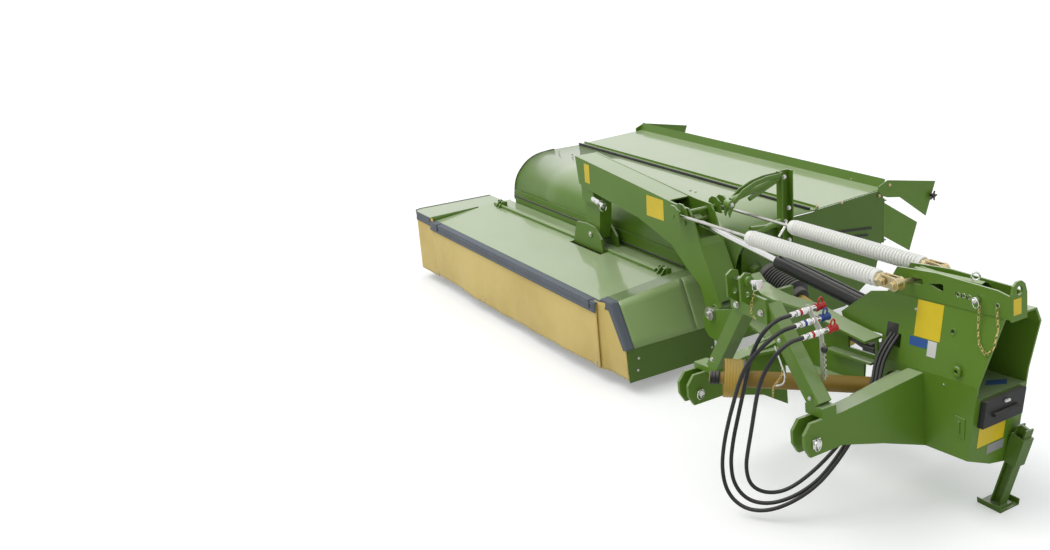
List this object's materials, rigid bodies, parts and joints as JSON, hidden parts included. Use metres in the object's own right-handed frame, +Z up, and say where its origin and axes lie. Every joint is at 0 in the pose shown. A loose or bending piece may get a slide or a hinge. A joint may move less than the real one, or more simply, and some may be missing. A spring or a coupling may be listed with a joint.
{
  "type": "disc mower",
  "caption": "Rear mounted disc mower with tine conditioner, hitch headstock, folding boom, relief springs, guards and curtains.",
  "frame": {"origin": "bottom centre of the bounding box, on the ground", "axes": "+X to the machine's left, towards the headstock and stand; +Y to the rear; +Z up"},
  "size_m": [5.5484, 2.7865, 1.255],
  "materials": {
    "green_paint": "gloss",
    "bright_steel": "satin",
    "spring_steel": "satin",
    "black_steel": "satin",
    "yellow_plastic": "matt",
    "canvas": "matt",
    "black_rubber": "matt",
    "coupler_steel": "satin"
  },
  "bodies": {
    "headstock": {"hitch_arm_left": "green_paint", "hitch_arm_right": "green_paint", "lower_link_pins": "bright_steel", "mast_leg_left": "green_paint", "mast_leg_right": "green_paint", "mast_head": "green_paint", "upper_link_pin": "bright_steel", "cross_beam": "green_paint", "boom_pivot_pin": "bright_steel", "gear_housing": "green_paint", "document_box": "black_rubber", "headstock_gearbox": "black_steel", "spring_bracket": "green_paint", "lift_anchor": "bright_steel", "pto_guard": "yellow_plastic", "stand_sleeve": "green_paint", "hose_holder": "black_steel", "hose_couplers": "coupler_steel", "hose_1": "black_rubber", "hose_2": "black_rubber", "hose_3": "black_rubber"},
    "stand": {"stand_leg": "green_paint"},
    "pto": {"pto_shaft": "black_steel"},
    "boom": {"boom_arm": "green_paint", "boom_ears": "green_paint", "hanger": "green_paint", "mower_pivot_pin": "bright_steel"},
    "front_guard": {"front_guard": "green_paint", "front_curtain": "canvas"},
    "outer_guard": {"outer_guard": "green_paint", "outer_curtain": "canvas"},
    "swath_board_inner": {"swath_board_inner": "green_paint"},
    "swath_board_outer": {"swath_board_outer": "green_paint"},
    "conditioner": {"conditioner_rotor": "green_paint"},
    "lift_barrel": {"lift_barrel": "black_steel"},
    "lift_rod": {"lift_rod": "bright_steel"},
    "spring_trunnion": {"spring_trunnion": "bright_steel"},
    "spring_coils": {"spring_coils": "spring_steel"},
    "spring_rods": {"spring_rods": "bright_steel"},
    "shaft_outer": {"shaft_guard": "yellow_plastic"},
    "shaft_inner": {"shaft_bellows": "black_rubber"},
    "mower": {"mower_frame": "green_paint", "cutter_bar": "green_paint", "skids": "black_steel", "hood": "green_paint", "rear_plate": "green_paint", "inner_wall": "green_paint", "outer_wall": "green_paint", "wing_plates": "green_paint", "adjusting_post": "green_paint", "mower_gearbox": "black_steel", "inner_guard": "green_paint", "inner_curtain": "canvas"},
    "disc_1": {"disc_1": "black_steel"},
    "disc_2": {"disc_2": "black_steel"},
    "disc_3": {"disc_3": "black_steel"},
    "disc_4": {"disc_4": "black_steel"},
    "disc_5": {"disc_5": "black_steel"},
    "disc_6": {"disc_6": "black_steel"},
    "disc_7": {"disc_7": "black_steel"}
  },
  "joints": [
    {"name": "boom_fold", "type": "hinge", "parent": "headstock", "child": "boom", "pos_m": [0.65978, -0.47965, 0.512], "axis": [0, 1, 0], "range_deg": [-4, 60]},
    {"name": "mower_tilt", "type": "hinge", "parent": "boom", "child": "mower", "pos_m": [-0.78022, -0.47965, 0.68], "axis": [0, 1, 0], "range_deg": [-3, 3]},
    {"name": "front_guard_lift", "type": "hinge", "parent": "mower", "child": "front_guard", "pos_m": [-1.14022, -0.48965, 0.612], "axis": [-1, 0, 0], "range_deg": [0, 60]},
    {"name": "outer_guard_fold", "type": "hinge", "parent": "mower", "child": "outer_guard", "pos_m": [-2.42522, -0.45065, 0.563], "axis": [0, 1, 0], "range_deg": [0, 90]},
    {"name": "swath_board_inner_turn", "type": "hinge", "parent": "mower", "child": "swath_board_inner", "pos_m": [0.57578, 0.87935, 0.77], "axis": [0, 0, 1], "range_deg": [0, 25]},
    {"name": "swath_board_outer_turn", "type": "hinge", "parent": "mower", "child": "swath_board_outer", "pos_m": [-2.29622, 0.87935, 0.77], "axis": [0, 0, -1], "range_deg": [0, 25]},
    {"name": "conditioner_spin", "type": "hinge", "parent": "mower", "child": "conditioner", "pos_m": [-1.00022, -0.02565, 0.43], "axis": [1, 0, 0], "continuous": true},
    {"name": "stand_slide", "type": "slide", "parent": "headstock", "child": "stand", "axis": [0.2304, 0.1037, 0.9676], "range_m": [0, 0.2]},
    {"name": "pto_spin", "type": "hinge", "parent": "headstock", "child": "pto", "pos_m": [1.66008, -1.32565, 0.64673], "axis": [0.576, 0.8113, -0.0995], "continuous": true},
    {"name": "lift_barrel_tilt", "type": "hinge", "parent": "headstock", "child": "lift_barrel", "pos_m": [1.99978, -0.47965, 0.83], "axis": [0, 1, 0], "range_deg": [-0.8, 3.2]},
    {"name": "lift_rod_slide", "type": "slide", "parent": "lift_barrel", "child": "lift_rod", "axis": [0.9945, 0, -0.105], "range_m": [-0.041, 0.558]},
    {"name": "spring_trunnion_slide", "type": "slide", "parent": "headstock", "child": "spring_trunnion", "axis": [0.9977, 0, 0.068], "range_m": [-0.008, 0.06]},
    {"name": "spring_tilt", "type": "hinge", "parent": "spring_trunnion", "child": "spring_coils", "pos_m": [2.18178, -0.46565, 1.082], "axis": [0, 1, 0], "range_deg": [-2.9, 0.8]},
    {"name": "spring_rod_slide", "type": "slide", "parent": "spring_coils", "child": "spring_rods", "axis": [0.9999, 0, 0.0123], "range_m": [-0.041, 0.556]},
    {"name": "shaft_tilt", "type": "hinge", "parent": "headstock", "child": "shaft_outer", "pos_m": [1.60978, -0.21565, 0.48], "axis": [0, 1, 0], "range_deg": [-9.1, 1.2]},
    {"name": "shaft_slide", "type": "slide", "parent": "shaft_outer", "child": "shaft_inner", "axis": [0.9775, 0, -0.211], "range_m": [-0.012, 0.125]},
    {"name": "disc_1_spin", "type": "hinge", "parent": "mower", "child": "disc_1", "pos_m": [0.06478, -0.70565, 0.09], "axis": [0, 0, 1], "continuous": true},
    {"name": "disc_2_spin", "type": "hinge", "parent": "mower", "child": "disc_2", "pos_m": [-0.35522, -0.70565, 0.09], "axis": [0, 0, 1], "continuous": true},
    {"name": "disc_3_spin", "type": "hinge", "parent": "mower", "child": "disc_3", "pos_m": [-0.77522, -0.70565, 0.09], "axis": [0, 0, 1], "continuous": true},
    {"name": "disc_4_spin", "type": "hinge", "parent": "mower", "child": "disc_4", "pos_m": [-1.19522, -0.70565, 0.09], "axis": [0, 0, 1], "continuous": true},
    {"name": "disc_5_spin", "type": "hinge", "parent": "mower", "child": "disc_5", "pos_m": [-1.61522, -0.70565, 0.09], "axis": [0, 0, 1], "continuous": true},
    {"name": "disc_6_spin", "type": "hinge", "parent": "mower", "child": "disc_6", "pos_m": [-2.03522, -0.70565, 0.09], "axis": [0, 0, 1], "continuous": true},
    {"name": "disc_7_spin", "type": "hinge", "parent": "mower", "child": "disc_7", "pos_m": [-2.45522, -0.70565, 0.09], "axis": [0, 0, 1], "continuous": true}
  ],
  "couplings": [
    {"joint": "lift_barrel_tilt", "follows": "boom_fold", "ratio": 0.0435},
    {"joint": "lift_rod_slide", "follows": "boom_fold", "m_per_rad": 0.5295},
    {"joint": "spring_trunnion_slide", "follows": "boom_fold", "m_per_rad": 0.0535},
    {"joint": "spring_tilt", "follows": "boom_fold", "ratio": -0.0391},
    {"joint": "spring_rod_slide", "follows": "boom_fold", "m_per_rad": 0.5272},
    {"joint": "shaft_tilt", "follows": "boom_fold", "ratio": -0.1413},
    {"joint": "shaft_slide", "follows": "boom_fold", "m_per_rad": 0.1151},
    {"joint": "disc_1_spin", "follows": "conditioner_spin", "ratio": 3.3333},
    {"joint": "disc_2_spin", "follows": "conditioner_spin", "ratio": -3.3333},
    {"joint": "disc_3_spin", "follows": "conditioner_spin", "ratio": 3.3333},
    {"joint": "disc_4_spin", "follows": "conditioner_spin", "ratio": -3.3333},
    {"joint": "disc_5_spin", "follows": "conditioner_spin", "ratio": 3.3333},
    {"joint": "disc_6_spin", "follows": "conditioner_spin", "ratio": -3.3333},
    {"joint": "disc_7_spin", "follows": "conditioner_spin", "ratio": 3.3333}
  ]
}
